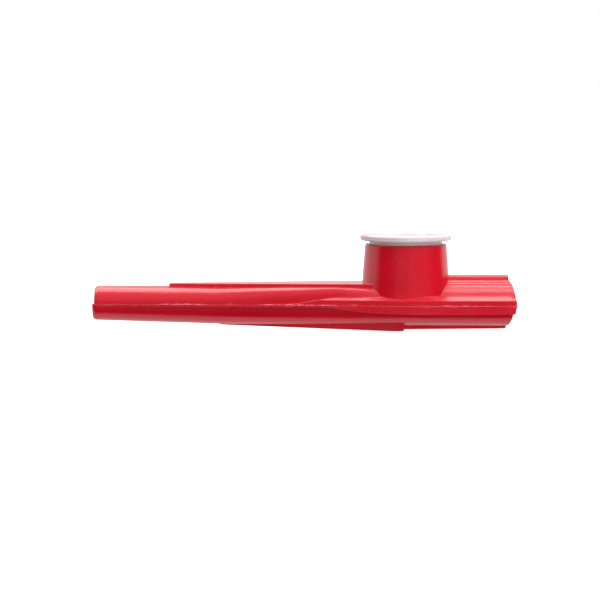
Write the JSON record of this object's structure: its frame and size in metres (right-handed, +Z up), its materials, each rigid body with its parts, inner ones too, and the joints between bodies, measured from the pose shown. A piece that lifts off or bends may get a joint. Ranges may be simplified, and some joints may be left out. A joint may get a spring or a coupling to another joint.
{
  "type": "kazoo",
  "caption": "Moulded plastic kazoo with a narrow round exit tube, a flat winged mouth end, and a round turret closed by a pull-off ring cap over a buzzing membrane.",
  "frame": {"origin": "under the middle of the object's bounding box, level with the foot of the keel that it stands on", "axes": "+X along the air channel towards the flat mouth end, +Y across the width, +Z up through the turret and cap"},
  "size_m": [0.12, 0.0268, 0.0273],
  "materials": {
    "shell_plastic": "glossy moulded red",
    "cap_plastic": "glossy moulded white",
    "membrane_film": "waxy translucent film"
  },
  "bodies": {
    "body": {"upper_shell": "shell_plastic", "lower_shell": "shell_plastic"},
    "membrane": {"membrane": "membrane_film"},
    "cap": {"cap": "cap_plastic"}
  },
  "joints": [
    {"name": "cap_lift", "type": "slide", "parent": "body", "child": "cap", "axis": [0, 0, 1], "range_m": [0, 0.03]},
    {"name": "membrane_lift", "type": "slide", "parent": "body", "child": "membrane", "axis": [0, 0, 1], "range_m": [0, 0.015]}
  ],
  "couplings": [
    {"joint": "membrane_lift", "follows": "cap_lift", "ratio": 0.5}
  ]
}
